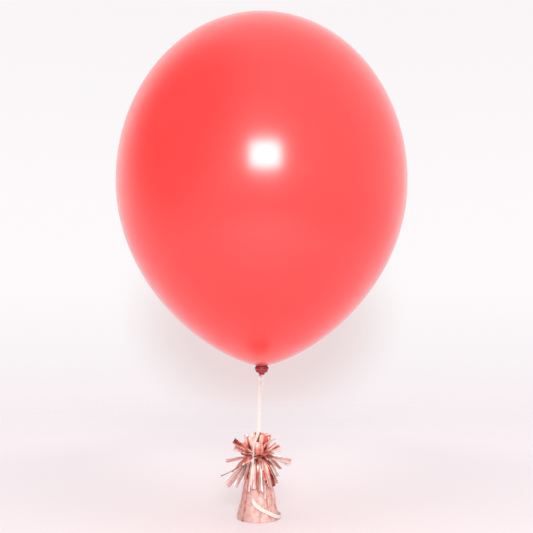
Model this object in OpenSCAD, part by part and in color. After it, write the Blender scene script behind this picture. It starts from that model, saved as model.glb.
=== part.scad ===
// Inflated latex balloon on a curling ribbon, tied to a foil-wrapped ballast weight.
// Millimetres, +Z up. The origin is the centre of the weight's base, on the surface that it stands on.
// -Y is the front of the object and +X is its right-hand side seen from the front.

/* [Balloon] */
// Largest diameter of the inflated latex
balloon_d = 396; // [360:1:400]
// Height of the domed part above the widest ring
dome_h = 229; // [200:1:235]
// Height of the tapered part, from the neck up to the widest ring
taper_h = 252.5; // [248:0.5:256]
// How far the lower part is drawn to a point; 1 is half an ellipse
taper_power = 1.36; // [1.3:0.01:1.4]
// Thickness of the stretched latex
latex_wall = 0.05; // [0.05:0.01:0.3]
// Height of the neck above the surface
neck_z = 207.5; // [207.5:0.5:208.5]
// Distance of the balloon's axis from the weight's axis
balloon_x = 5; // [4.5:0.1:5.5]

/* [Neck and nozzle] */
// Radius of the neck where the knot and the ribbon squeeze it
neck_r = 5.5; // [4.5:0.1:5.5]
// Radius of the overhand knot's body
knot_r = 7.7; // [7.4:0.1:7.8]
// Height of the overhand knot
knot_h = 7.2; // [7:0.1:7.5]
// Length of the nozzle that is left below the knot
nozzle_l = 1.2; // [1:0.1:3]
// Radius of the nozzle's rolled lip
lip_r = 4.4; // [4:0.1:4.6]

/* [Ribbon] */
// Width of the curling ribbon
ribbon_w = 5; // [4:0.1:5]
// Thickness of the curling ribbon
ribbon_t = 0.4; // [0.3:0.05:0.5]

/* [Weight] */
// Radius of the foil wrap on the surface
base_r = 29.7; // [29:0.1:31]
// How much the wrap narrows for each millimetre of height
wrap_slope = 0.19; // [0.17:0.01:0.2]
// Thickness of the foil
foil_t = 0.3; // [0.2:0.05:0.4]
// Height of the plastic cup that holds the ballast
cup_h = 52; // [48:1:54]
// Wall of the plastic cup
cup_wall = 1.2; // [1:0.1:2]
// Room between the cup and the foil, which its creases take up
cup_gap = 3; // [0.4:0.1:3.2]
// Height of the foil gather above the surface
gather_z = 82; // [81:0.5:83]

/* [Fringe] */
// Width of a cut strip at its free end
strip_w = 8; // [5:0.5:8]
// Length of the upright strips
crown_l = 33; // [28:1:36]

/* [Hidden] */

latex_colour = "tomato";
ribbon_colour = "ivory";
foil_colour = "lightsalmon";

// Clearance between pieces of one body that lie face to face
seat_gap = 0.05;
// Profile points on each half of the balloon's outline
outline_steps = 40;
// Centre of the widest ring
belly_z = neck_z + taper_h;
$fn = 96;

function unit(v) = v / norm(v);

// ---- Balloon ----

// Outline of the latex from the top to radius r_end at the neck, drawn in by inset
function balloon_outline(inset, r_end) =
  let (r = balloon_d / 2 - inset, up = dome_h - inset, down = taper_h - inset)
  let (last = 180 - asin(pow(r_end / r, 1 / taper_power)))
  concat(
    [for (i = [0 : outline_steps]) let (a = 90 * i / outline_steps)
      [r * sin(a), belly_z + up * cos(a)]],
    [for (i = [1 : outline_steps]) let (a = 90 + (last - 90) * i / outline_steps)
      [r * pow(sin(a), taper_power), belly_z + down * cos(a)]]);

function reversed(list) = [for (i = [len(list) - 1 : -1 : 0]) list[i]];

knot_top_z = neck_z - 1.4;

// Closed latex envelope with the squeezed stub of its neck
module balloon_skin() {
  color(latex_colour) translate([balloon_x, 0, 0]) rotate_extrude()
    polygon(concat(
      balloon_outline(0, neck_r),
      [[neck_r, knot_top_z], [0, knot_top_z], [0, neck_z + latex_wall]],
      reversed(balloon_outline(latex_wall, 0))));
}

// How much wider than deep the overhand knot lies
knot_spread = 1.1;

// Body of the overhand knot: a full bowl with a collar that comes up round the tied neck
module neck_knot() {
  foot_r = 4;
  waist_z = 0.3 * knot_h;
  collar_h = 1.85;
  collar_r = neck_r + 1;
  color("firebrick") translate([balloon_x, 0, knot_top_z - knot_h - seat_gap])
    scale([knot_spread, 1, 1]) rotate_extrude()
      polygon(concat(
        [[0, 0]],
        [for (a = [-90 : 10 : 0]) [foot_r + (knot_r - foot_r) * cos(a), waist_z * (1 + sin(a))]],
        [[knot_r, knot_h], [knot_r - 0.3, knot_h + 0.8 * collar_h], [knot_r - 0.7, knot_h + collar_h],
          [collar_r, knot_h + 0.8 * collar_h], [collar_r, knot_h], [0, knot_h]]));
}

nozzle_top_z = knot_top_z - knot_h - 2 * seat_gap;
nozzle_bottom_z = nozzle_top_z - nozzle_l;

// The turn of latex that crosses round the front of the knot
module knot_wrap() {
  turn_r = 0.5;
  turn_gap = 0.25;
  drop = 1.2;
  color("brown") translate([balloon_x, 0, knot_top_z - drop]) scale([knot_spread, 1, 1])
    rotate([10, 0, 0]) rotate([0, 0, 170]) rotate_extrude(angle = 200)
      translate([knot_r + turn_r + turn_gap, 0]) circle(r = turn_r, $fn = 32);
}

// Short flared nozzle left below the knot
module nozzle() {
  top_r = lip_r - 0.4;
  color(latex_colour) translate([balloon_x, 0, 0]) rotate_extrude()
    polygon([[top_r - 1, nozzle_top_z], [top_r, nozzle_top_z], [lip_r, nozzle_bottom_z],
      [lip_r - 0.8, nozzle_bottom_z]]);
}

lip_bead_r = 0.8;

// Rolled bead round the mouth of the nozzle
module nozzle_lip() {
  color("firebrick") translate([balloon_x, 0, nozzle_bottom_z - lip_bead_r - seat_gap])
    rotate_extrude() translate([lip_r - 0.4, 0]) circle(r = lip_bead_r, $fn = 32);
}

// ---- Ribbon ----

// Direction of a path at its point i
function heading(path, i) = unit(path[min(i + 1, len(path) - 1)] - path[max(i - 1, 0)]);

// Number i of a list, or the one number that stands for the whole list
function pick(value, i) = is_list(value) ? value[i] : value;

// Flat band swept along a path; across[i] is the direction in which its width lies
module band(path, across, width, thick) {
  n = len(path);
  corners = [[-1, -1], [1, -1], [1, 1], [-1, 1]];
  points = [for (i = [0 : n - 1])
    let (t = heading(path, i), a = unit(across[i] - (across[i] * t) * t), f = cross(t, a))
      for (c = corners) path[i] + a * (c[0] * pick(width, i) / 2) + f * (c[1] * thick / 2)];
  // Each side is two triangles whose diagonals run the same way on both faces of the band
  sides = [for (i = [0 : n - 2], j = [0 : 3])
    let (k = (j + 1) % 4, a = 4 * i + j, b = a + 4, d = 4 * i + k, c = d + 4)
      each (j % 2 == 0 && j < 2 || j == 1 ? [[a, b, c], [a, c, d]] : [[a, b, d], [b, c, d]])];
  last = 4 * (n - 1);
  polyhedron(points,
    concat([[0, 1, 2, 3]], sides, [[last + 3, last + 2, last + 1, last]]));
}

// One direction of width for a whole path, as an angle from +X towards +Y
function facing(path, angle) = [for (p = path) [cos(angle), sin(angle), 0]];

// Width that turns evenly from one angle to another along a path
function turning(path, from, to) =
  [for (i = [0 : len(path) - 1]) let (a = from + (to - from) * i / (len(path) - 1))
    [cos(a), sin(a), 0]];

// The ribbon rises from the tie on the gather, through the upright strips, to the neck
crown_run = [[-6, -9.2, 83], [-6.4, -9.6, 88], [-6.4, -9.8, 94], [-5.6, -9.4, 101],
  [-3.4, -7.2, 108], [-0.6, -4, 114.6]];
lower_bend = [[-0.1, -3.7, 117.2], [0.2, -3.6, 118.6], [0.5, -3.5, 120]];
lower_run = [[1.2, -3.1, 124.6], [1.6, -2.8, 130], [1.8, -2.3, 136], [1.9, -1.9, 142]];
upper_run = [[1.9, -1.8, 143.4], [2, -1.4, 150], [2.1, -0.6, 162], [2.2, 0.4, 174],
  [2.3, 1.2, 183.6]];
upper_bend = [[2.4, 2, 186.4], [2.5, 2.5, 187.8], [2.6, 3, 189.2]];
neck_run = [[2.8, 5.6, 193.6], [3, 8.4, 197.4], [3.2, 9.8, 201], [3.6, 9.8, 205]];
// The cut end hangs from the hitch, clear of the tether, and bends where the tether does
short_top = [[7.2, 10.8, 206], [7.4, 10.8, 202], [7.3, 9.2, 197], [7, 6.8, 193.8]];
short_bend = [[6.9, 5.2, 188.6], [6.9, 4.9, 187.5], [6.9, 4.6, 186.4]];
short_end = [[7, 4.2, 183], [7.4, 4.4, 178], [7.6, 4.6, 170], [7.2, 5.4, 161]];

// The tail hangs down the front, sweeps round the wrap to the right and ends behind it
tail = [[-6.8, -11, 81.6], [-7.4, -12.2, 79.6], [-8, -15, 74], [-8.3, -18.6, 66], [-8.6, -21.6, 57],
  [-8.8, -23.4, 48], [-8.6, -24.6, 40], [-7.9, -25.4, 34], [-6.2, -26.8, 28.6], [-3.6, -27.9, 24.4],
  [0.2, -28.5, 21.2], [4.2, -28.5, 18.4], [8.3, -27.7, 16], [12.3, -26.3, 13.8],
  [16.3, -24.3, 11.4], [20.3, -21.9, 9], [24.4, -18.3, 6.4], [27.9, -13.2, 4.6],
  [30.2, -7.5, 3.6], [31, -1.5, 3.1], [30.6, 4.8, 2.9], [28.8, 11.2, 2.9], [25.6, 17.2, 3],
  [21.2, 22.4, 3.2], [16.6, 26.6, 3.6], [12.2, 30, 4.4]];
// Width of the tail: edge towards the front as it hangs, upright against the wrap on the sweep
tail_across = [for (i = [0 : len(tail) - 1])
  i < 4 ? [0.7, -0.7, 0] : i < 5 ? [0.6, -0.8, 0] : i < 6 ? [0.35, -0.92, 0] :
  i < 7 ? [0.04, -1, 0.1] : i < 8 ? [0.15, -0.6, 0.8] : [0.2, 0, 1]];

module ribbon(path, across) {
  color(ribbon_colour) band(path, across, ribbon_w, ribbon_t);
}

// Ring of ribbon pulled tight round a neck of radius r
module ribbon_ring(r, height) {
  color(ribbon_colour) rotate_extrude()
    translate([r + seat_gap, 0]) square([2 * ribbon_t, height]);
}

// Pulled-tight half hitch
module ribbon_hitch(r) {
  color(ribbon_colour) rotate_extrude() intersection() {
    circle(r = r, $fn = 48);
    translate([0, -r * 0.8]) square([r, 1.6 * r]);
  }
}

module ribbon_neck_wrap() {
  translate([balloon_x, 0, knot_top_z + 0.1]) ribbon_ring(neck_r, 1.3);
}

module ribbon_neck_knot() { translate([3.8, 9.6, 206.8]) ribbon_hitch(1.6); }
module ribbon_neck_run() { ribbon(neck_run, turning(neck_run, 48, 0)); }
module ribbon_upper_bend() { ribbon(upper_bend, facing(upper_bend, 48)); }
module ribbon_upper_run() { ribbon(upper_run, facing(upper_run, 48)); }
module ribbon_short_top() { ribbon(short_top, turning(short_top, 80, 75)); }
module ribbon_short_bend() { ribbon(short_bend, facing(short_bend, 75)); }
module ribbon_short_end() { ribbon(short_end, facing(short_end, 75)); }
module ribbon_lower_run() { ribbon(lower_run, turning(lower_run, 30, 48)); }
module ribbon_lower_bend() { ribbon(lower_bend, facing(lower_bend, 0)); }
module ribbon_crown_run() { ribbon(crown_run, turning(crown_run, -30, 0)); }
module ribbon_tail() { ribbon(tail, tail_across); }

// ---- Weight ----

gather_r = 5.2;
gather_h = 8;
gather_bottom_z = gather_z - gather_h;
// The wrap rides up over the cup's shoulder to the gather
shoulder_z = cup_h + 6;

function wrap_r(z) = base_r - wrap_slope * z;

module ribbon_gather_wrap() {
  translate([0, 0, gather_z - 2]) ribbon_ring(gather_r, 1.6);
}

module ribbon_gather_knot() { translate([-5.6, -7.4, gather_z - 1]) ribbon_hitch(1.9); }

// Elastic band that holds the gather shut, two turns
module gather_band() {
  turn_r = 0.8;
  color("mistyrose") for (turn = [0, 1])
    translate([0, 0, gather_z - 5.4 + turn * (2 * turn_r + seat_gap)]) rotate_extrude()
      translate([gather_r + turn_r + seat_gap, 0]) circle(r = turn_r, $fn = 32);
}

// Outer outline of the wrap from the surface to the gather
function wrap_outline(inset) = [
  [wrap_r(0) - inset, inset], [wrap_r(shoulder_z) - inset, shoulder_z],
  [12 - inset, gather_bottom_z - 5], [gather_r + 0.8 - inset, gather_bottom_z]];

// Foil sheet folded up round the cup from under its base
module foil_wrap() {
  color(foil_colour) rotate_extrude() polygon(concat(
    [[0, 0], [wrap_r(0), 0]], wrap_outline(0), reversed(wrap_outline(foil_t)), [[0, foil_t]]));
}

// Bunch of pleats squeezed by the band
module foil_gather() {
  pleats = 12;
  color("salmon") translate([0, 0, gather_bottom_z + seat_gap]) linear_extrude(gather_h)
    polygon([for (i = [0 : 2 * pleats - 1])
      let (r = i % 2 == 0 ? gather_r : gather_r - 1, a = 180 * i / pleats)
        [r * cos(a), r * sin(a)]]);
}

// Path of a cut strip in its own radial plane: its slope settles from lift to droop
function strip_path(root_r, root_z, length, lift, droop, sharpness, steps = 8) =
  [for (i = 0, r = root_r, z = root_z, slope = lift; i <= steps;
      r = r + length / steps * cos(slope), z = z + length / steps * sin(slope), i = i + 1,
      slope = droop + (lift - droop) * pow(1 - i / (steps + 1), sharpness))
    [r, 0, z]];

// Width direction of a strip that twists evenly to an angle at its tip
function strip_across(path, twist) =
  [for (i = [0 : len(path) - 1])
    let (t = heading(path, i), a = twist * i / (len(path) - 1))
      cos(a) * [0, 1, 0] + sin(a) * cross([0, 1, 0], t)];

// One cut strip. It is no wider than its share of the circle, so neighbours stay apart.
module strip(azimuth, root_r, length, lift, droop, sharpness, twist, share) {
  path = strip_path(root_r, gather_z + 0.4, length, lift, droop, sharpness);
  widths = [for (p = path) min(strip_w, share * p[0])];
  rotate([0, 0, azimuth]) band(path, strip_across(path, twist), widths, foil_t);
}

// Upright strips: [azimuth, length share, slope at the root, slope at the tip, twist]
upright_rows = [[172, 1, 74, 50, 15], [204, 1.06, 76, 52, -20], [290, 0.96, 80, 70, 25],
  [322, 1.04, 76, 52, -15], [354, 1, 72, 50, 10], [28, 0.96, 78, 60, 20], [64, 1, 82, 62, -25],
  [98, 1.02, 80, 66, 20], [134, 1, 78, 60, 15]];

// Spread strips, which stand out sideways
spread_rows = [[172, 1, 70, 24, 30], [194, 1.2, 60, -12, -25], [300, 0.85, 70, 24, 35],
  [326, 0.9, 75, 42, 20], [348, 1.2, 55, -10, 15], [28, 0.95, 65, 12, -30], [66, 0.9, 70, 30, 25],
  [112, 1, 60, -5, 20], [146, 0.9, 70, 30, -20]];

// Drooping strips, which hang over the wrap
droop_rows = [[180, 1.3, 30, -32, -15], [204, 1.25, 30, -46, 10], [270, 0.9, 30, -58, 10],
  [293, 1, 30, -54, -12], [316, 1, 30, -48, 14], [339, 1.05, 30, -40, -15], [38, 0.95, 30, -42, 12],
  [62, 1.05, 30, -52, -10], [86, 0.9, 30, -56, 15], [110, 0.95, 30, -50, -12],
  [134, 1.1, 30, -44, 12], [157, 0.95, 30, -50, 10]];

module strips(rows, root_r, sharpness, share) {
  for (row = rows)
    strip(row[0], root_r, crown_l * row[1], row[2], row[3], sharpness, row[4], share);
}

module upright_strips() { color("indianred") strips(upright_rows, 2.2, 1, 0.5); }
module spread_strips() { color("darksalmon") strips(spread_rows, 3.3, 6, 0.36); }
module drooping_strips() { color("lightpink") strips(droop_rows, 4.7, 5, 0.36); }

cup_bottom_z = foil_t + seat_gap;

function cup_r(z) = wrap_r(z) - foil_t - cup_gap;

// Tapered plastic cup, mouth down
module ballast_cup() {
  color("whitesmoke") rotate_extrude() polygon([
    [cup_r(0), cup_bottom_z], [cup_r(cup_h), cup_h], [0, cup_h], [0, cup_h - cup_wall],
    [cup_r(cup_h) - cup_wall, cup_h - cup_wall], [cup_r(0) - cup_wall, cup_bottom_z]]);
}

plug_t = 1.5;
core_bottom_z = cup_bottom_z + plug_t + seat_gap;
core_top_z = cup_h - cup_wall - seat_gap;

function bore_r(z) = cup_r(z) - cup_wall - seat_gap;

// Clearance round what is poured or pressed into the cup
bore_gap = 0.2;

// Set plaster and sand that fills the cup
module ballast_core() {
  color("tan") rotate_extrude() polygon([
    [0, core_bottom_z], [bore_r(core_bottom_z) - bore_gap, core_bottom_z],
    [bore_r(core_top_z) - bore_gap, core_top_z], [0, core_top_z]]);
}

// Disc pressed into the mouth of the cup
module cup_base() {
  color("gainsboro") translate([0, 0, cup_bottom_z]) cylinder(h = plug_t, r = bore_r(plug_t) - bore_gap);
}

balloon_skin();
neck_knot();
knot_wrap();
nozzle();
nozzle_lip();
ribbon_neck_wrap();
ribbon_neck_knot();
ribbon_neck_run();
ribbon_upper_bend();
ribbon_upper_run();
ribbon_short_top();
ribbon_short_bend();
ribbon_short_end();
ribbon_lower_run();
ribbon_lower_bend();
ribbon_crown_run();
ribbon_gather_wrap();
ribbon_gather_knot();
ribbon_tail();
gather_band();
foil_wrap();
foil_gather();
upright_strips();
spread_strips();
drooping_strips();
ballast_cup();
ballast_core();
cup_base();
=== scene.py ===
"""Latex balloon on a curling ribbon, tied to a foil-wrapped weight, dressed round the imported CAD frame."""
import math
import random

import bpy
import numpy as np
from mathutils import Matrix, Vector, noise


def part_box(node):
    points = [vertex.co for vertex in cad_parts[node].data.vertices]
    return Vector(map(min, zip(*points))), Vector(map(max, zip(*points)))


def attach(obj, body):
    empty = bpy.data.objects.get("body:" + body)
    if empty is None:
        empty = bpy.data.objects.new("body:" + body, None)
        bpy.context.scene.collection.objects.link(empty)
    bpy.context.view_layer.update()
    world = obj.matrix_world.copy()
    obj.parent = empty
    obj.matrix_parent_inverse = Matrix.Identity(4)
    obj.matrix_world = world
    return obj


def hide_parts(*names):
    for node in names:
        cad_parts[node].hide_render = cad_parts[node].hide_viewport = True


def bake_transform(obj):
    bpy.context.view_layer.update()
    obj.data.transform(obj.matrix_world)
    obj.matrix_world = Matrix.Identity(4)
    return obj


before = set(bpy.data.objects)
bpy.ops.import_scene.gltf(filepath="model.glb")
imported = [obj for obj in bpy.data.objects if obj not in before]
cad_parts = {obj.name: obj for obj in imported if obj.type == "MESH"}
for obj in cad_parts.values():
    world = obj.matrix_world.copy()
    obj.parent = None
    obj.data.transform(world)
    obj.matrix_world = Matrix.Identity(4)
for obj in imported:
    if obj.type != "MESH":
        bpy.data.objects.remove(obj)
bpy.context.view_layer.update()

# Shapes are worked out in millimetres, as in the CAD, and become metres when a mesh is made.
MM = 0.001
# The camera looks level along +Y, from in front of the object.
CAMERA_AT = (0.0116, -1.362, 0.344)
CAMERA_FOV = math.radians(30)


def box_mm(node):
    """Lowest and highest corner of a CAD node, in millimetres."""
    low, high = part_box(node)
    return np.array(low) / MM, np.array(high) / MM


# ---- Dimensions ----

# These are the same as in the CAD, because the frame doesn't hold them
DOME_H = 229
TAPER_POWER = 1.36
NECK_R = 5.5
SHOULDER_Z = 58
WRAP_SLOPE = 0.19

# The rest come from the frame. The taper ends where the short stub of the neck starts.
skin_low, skin_high = box_mm("balloon_skin")
AXIS_X = (skin_low[0] + skin_high[0]) / 2
BALLOON_R = (skin_high[0] - skin_low[0]) / 2
TOP_Z = skin_high[2]
KNOT_TOP_Z = skin_low[2]
NECK_Z = KNOT_TOP_Z + 1.4
BELLY_Z = TOP_Z - DOME_H
TAPER_H = BELLY_Z - NECK_Z

knot_low, knot_high = box_mm("neck_knot")
KNOT_R = (knot_high[1] - knot_low[1]) / 2
KNOT_SPREAD = (knot_high[0] - knot_low[0]) / (knot_high[1] - knot_low[1])
nozzle_low, nozzle_high = box_mm("nozzle")
LIP_R = (nozzle_high[0] - nozzle_low[0]) / 2
lip_low, lip_high = box_mm("nozzle_lip")

wrap_low, wrap_high = box_mm("foil_wrap")
BASE_R = (wrap_high[0] - wrap_low[0]) / 2
GATHER_BOTTOM_Z = wrap_high[2]
gather_low, gather_high = box_mm("foil_gather")
GATHER_R = (gather_high[0] - gather_low[0]) / 2
GATHER_Z = gather_high[2]


# ---- Small geometry tools ----

def unit(vectors):
    """Vectors, one to a row, each of length 1."""
    return vectors / np.linalg.norm(vectors, axis=-1, keepdims=True)


def smooth_line(points, step):
    """Rows about step apart on a smooth curve through the given rows, which start with their place."""
    points = np.array(points, float)
    ends = [2 * points[0] - points[1]], [2 * points[-1] - points[-2]]
    p = np.concatenate([ends[0], points, ends[1]])
    dense = []
    for i in range(1, len(p) - 2):
        t = np.linspace(0, 1, 24, endpoint=False)[:, None]
        a, b, c, d = p[i - 1], p[i], p[i + 1], p[i + 2]
        bend = (2 * a - 5 * b + 4 * c - d) * t ** 2 + (3 * b - a - 3 * c + d) * t ** 3
        dense.append(0.5 * (2 * b + (c - a) * t + bend))
    dense = np.concatenate(dense + [points[-1:]])
    along = np.concatenate([[0], np.cumsum(np.linalg.norm(np.diff(dense[:, :3], axis=0), axis=1))])
    at = np.linspace(0, along[-1], max(2, math.ceil(along[-1] / step) + 1))
    return np.stack([np.interp(at, along, dense[:, k]) for k in range(dense.shape[1])], axis=1)


def grid_faces(rows, columns, closed):
    """Quads of a grid whose columns may close into a ring."""
    last = columns if closed else columns - 1
    return [
        (i * columns + j, i * columns + (j + 1) % columns,
         (i + 1) * columns + (j + 1) % columns, (i + 1) * columns + j)
        for i in range(rows - 1) for j in range(last)
    ]


def closed_faces(rows, columns):
    """Quads of a grid that closes into a ring both ways."""
    last = (rows - 1) * columns
    return grid_faces(rows, columns, True) + [
        (last + j, last + (j + 1) % columns, (j + 1) % columns, j) for j in range(columns)]


def flipped(faces):
    """The same faces, turned to the other side."""
    return [tuple(reversed(face)) for face in faces]


def new_piece(name, points, faces, material, attributes=None):
    """Smooth mesh object from points in millimetres. attributes are named lists of one number to a point."""
    mesh = bpy.data.meshes.new(name)
    mesh.from_pydata((np.asarray(points, float) * MM).tolist(), [], [tuple(map(int, f)) for f in faces])
    mesh.validate()
    mesh.polygons.foreach_set("use_smooth", [True] * len(mesh.polygons))
    for key, values in (attributes or {}).items():
        layer = mesh.attributes.new(key, "FLOAT", "POINT")
        layer.data.foreach_set("value", np.asarray(values, np.float32).ravel())
    mesh.materials.append(material)
    piece = bpy.data.objects.new(name, mesh)
    bpy.context.scene.collection.objects.link(piece)
    return piece


def ring_tube(rings):
    """Points and faces of a tube from rings of points, with a fan at each end."""
    rings = np.asarray(rings, float)
    n, m = rings.shape[:2]
    points = np.concatenate([rings.reshape(-1, 3), [rings[0].mean(0)], [rings[-1].mean(0)]])
    faces = grid_faces(n, m, True)
    faces += [(n * m, (j + 1) % m, j) for j in range(m)]
    faces += [(n * m + 1, (n - 1) * m + j, (n - 1) * m + (j + 1) % m) for j in range(m)]
    return points, faces


def sweep(line, across, section):
    """Rings of a section swept along a line. section gives (across, out) pairs, once or for each point."""
    t = unit(np.gradient(line, axis=0))
    a = unit(across - (across * t).sum(1, keepdims=True) * t)
    f = np.cross(t, a)
    section = np.asarray(section, float)
    if section.ndim == 2:
        section = np.repeat(section[None], len(line), axis=0)
    return line[:, None] + section[..., :1] * a[:, None] + section[..., 1:] * f[:, None]


def merged(parts):
    """Points, faces and attributes of several parts as one mesh."""
    points, faces, attributes, count = [], [], {}, 0
    for part in parts:
        points.append(part[0])
        faces += [tuple(i + count for i in f) for f in part[1]]
        for key, values in part[2].items():
            attributes.setdefault(key, []).append(np.broadcast_to(values, len(part[0])))
        count += len(part[0])
    return np.concatenate(points), faces, {k: np.concatenate(v) for k, v in attributes.items()}


def crumple(points, scale, octaves, seed):
    """Sharp-creased crumple of a film, about 0 to 1, at each point. scale is the size of its wide facets."""
    values = []
    for p in points:
        total, share, place = 0.0, 1.0, Vector(p) / scale
        for _ in range(octaves):
            total += share * abs(noise.noise(place + Vector((seed, 2 * seed, 3 * seed))))
            share, place = share * 0.5, place * 2.1
        values.append(total)
    return np.array(values)


# ---- Materials ----

class NodeTree:
    """The nodes of a material or of the world, and short ways to add to them."""

    def __init__(self, owner):
        owner.use_nodes = True
        self.nodes = owner.node_tree.nodes
        self.links = owner.node_tree.links

    def feed(self, socket, value):
        """Link a socket to another node's output, or give it a constant value."""
        if isinstance(value, bpy.types.NodeSocket):
            self.links.new(value, socket)
        else:
            socket.default_value = value

    def node(self, kind, inputs=None, **settings):
        """New node, with its settings and with a socket or a constant value for each of its inputs."""
        made = self.nodes.new(kind)
        for key, value in settings.items():
            setattr(made, key, value)
        for key, value in (inputs or {}).items():
            self.feed(made.inputs[key], value)
        return made

    def remap(self, value, low, high, to_low, to_high, kind="SMOOTHSTEP"):
        """Number that goes from to_low to to_high as value goes from low to high."""
        inputs = {"Value": value, "From Min": low, "From Max": high, "To Min": to_low, "To Max": to_high}
        return self.node("ShaderNodeMapRange", inputs, interpolation_type=kind).outputs["Result"]

    def ramp(self, value, stops):
        """Colour along value, from (place, (r, g, b)) stops."""
        made = self.node("ShaderNodeValToRGB", {"Fac": value})
        elements = made.color_ramp.elements
        while len(elements) < len(stops):
            elements.new(0.5)
        for element, (at, colour) in zip(elements, stops):
            element.position = at
            element.color = (*colour, 1)
        return made.outputs["Color"]

    def mix(self, share, first, second):
        """Colour that goes from first to second, each a socket or (r, g, b, 1), as share goes from 0 to 1."""
        inputs = {"Factor": share, "A": first, "B": second}
        return self.node("ShaderNodeMix", inputs, data_type="RGBA").outputs["Result"]

    def combined(self, operation, first, second):
        """Number that a maths operation gives."""
        return self.node("ShaderNodeMath", {0: first, 1: second}, operation=operation).outputs["Value"]

    def vector(self, operation, *vectors):
        """Vector or number that a vector operation gives."""
        made = self.node("ShaderNodeVectorMath", dict(enumerate(vectors)), operation=operation)
        return made.outputs["Value" if operation in ("LENGTH", "DOT_PRODUCT") else "Vector"]


class Shader(NodeTree):
    """A node material built up from its Principled shader."""

    def __init__(self, name, **sockets):
        self.material = bpy.data.materials.new(name)
        super().__init__(self.material)
        self.principled = self.nodes["Principled BSDF"]
        for socket, value in sockets.items():
            self.principled.inputs[socket.replace("_", " ")].default_value = value
        self.place = self.node("ShaderNodeTexCoord").outputs["Object"]

    def noise(self, size, detail, roughness=0.5):
        """Noise whose blobs are about size metres wide."""
        inputs = {"Vector": self.place, "Scale": 1 / size, "Detail": detail, "Roughness": roughness}
        return self.node("ShaderNodeTexNoise", inputs).outputs["Fac"]

    def attribute(self, name):
        """A named attribute of the mesh."""
        return self.node("ShaderNodeAttribute", attribute_name=name).outputs["Fac"]

    def varied(self, name, size, detail, spread):
        """A mesh attribute with noise of up to spread added or taken away."""
        attribute = self.attribute(name)
        change = self.remap(self.noise(size, detail), 0.3, 0.7, -spread, spread)
        return self.combined("ADD", attribute, change)

    def drive(self, socket, value):
        """Link a socket of the Principled shader to a node's output."""
        self.links.new(value, self.principled.inputs[socket])

    def bump(self, height, distance, strength):
        """Relief of the surface, from a height that stands for up to distance metres."""
        inputs = {"Height": height, "Distance": distance, "Strength": strength}
        self.drive("Normal", self.node("ShaderNodeBump", inputs).outputs["Normal"])


def latex_material():
    """Stretched latex: coral, deeper where the rubber is thick at the crown, with a painted pale sheen down
    by the neck.
    """
    s = Shader("latex", IOR=1.5, Specular_IOR_Level=0.2, Coat_Weight=1.0, Coat_Roughness=0.22, Coat_IOR=1.5)
    thick = s.combined("ADD", s.attribute("thick"), s.remap(s.noise(0.09, 3), 0.35, 0.7, -0.02, 0.05))
    coral = s.ramp(thick, [
        (0.0, (0.92, 0.032, 0.03)), (0.35, (0.86, 0.026, 0.026)), (1.0, (0.42, 0.008, 0.01))])
    # The pale pink mixed in by the neck is a painted sheen, standing in for the light the surface reflects
    # where it turns edge-on.
    s.drive("Base Color", s.mix(s.attribute("painted_neck_sheen"), coral, (1.0, 0.3, 0.3, 1)))
    s.drive("Roughness", s.remap(s.noise(0.03, 4), 0.3, 0.7, 0.3, 0.4))
    s.bump(s.noise(0.012, 4, 0.6), 0.00004, 0.15)
    return s.material


def thick_latex_material():
    """Unstretched latex of the knot and the nozzle: deep red and satin, with a fine grain; its tone attribute
    carries painted shade and painted highlights.
    """
    s = Shader("latex_thick", IOR=1.5, Coat_Weight=0.25, Coat_Roughness=0.2)
    s.drive("Base Color", s.ramp(s.varied("tone", 0.0025, 4, 0.15), [
        (0.0, (0.13, 0.002, 0.004)), (0.5, (0.36, 0.012, 0.014)), (1.0, (0.6, 0.05, 0.05))]))
    s.drive("Roughness", s.remap(s.noise(0.004, 3), 0.3, 0.7, 0.32, 0.5))
    s.bump(s.noise(0.0012, 4, 0.6), 0.0001, 0.3)
    return s.material


def ribbon_material():
    """Ivory curling ribbon: satin film, finely mottled, with painted highlights on its ribs and the painted
    light and shade that each piece carries.
    """
    s = Shader("ribbon", IOR=1.5, Coat_Weight=0.35, Coat_Roughness=0.2, Sheen_Weight=0.15)
    s.drive("Base Color", s.ramp(s.varied("painted_ribbon_light", 0.0008, 2, 0.15), [
        (0.0, (0.56, 0.49, 0.435)), (0.5, (0.73, 0.65, 0.59)), (1.0, (0.86, 0.79, 0.745))]))
    s.drive("Roughness", s.remap(s.noise(0.003, 3), 0.3, 0.7, 0.26, 0.42))
    s.bump(s.noise(0.0006, 3), 0.00003, 0.4)
    return s.material


def foil_material():
    """Rose gold film: crumpled metal, whose tone attribute paints in the reflections, highlights and shade
    that its folds take from the light and from each other.
    """
    s = Shader("foil", Metallic=0.6, IOR=1.5)
    tone = s.varied("tone", 0.006, 3, 0.1)
    warm = s.ramp(tone, [
        (0.0, (0.22, 0.03, 0.022)), (0.22, (0.7, 0.16, 0.1)), (0.5, (0.8, 0.4, 0.32)),
        (0.78, (0.88, 0.62, 0.57)), (1.0, (1.0, 0.92, 0.9))])
    cool = s.ramp(tone, [
        (0.0, (0.14, 0.1, 0.1)), (0.5, (0.62, 0.48, 0.47)), (1.0, (0.93, 0.86, 0.87))])
    s.drive("Base Color", s.mix(s.attribute("cool"), warm, cool))
    dull = s.attribute("dull")
    s.drive("Roughness", s.combined("ADD", dull, s.remap(s.noise(0.004, 3), 0.3, 0.75, 0.3, 0.48)))
    s.bump(s.noise(0.0022, 4, 0.65), 0.0002, 0.3)
    return s.material


def elastic_material():
    """Elastic thread, pinkish and finely rough."""
    s = Shader("elastic", Roughness=0.6)
    s.drive("Base Color", s.ramp(s.noise(0.0008, 3), [(0.3, (0.62, 0.4, 0.36)), (0.7, (0.85, 0.68, 0.62))]))
    s.bump(s.noise(0.0004, 3), 0.00005, 0.6)
    return s.material


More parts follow.
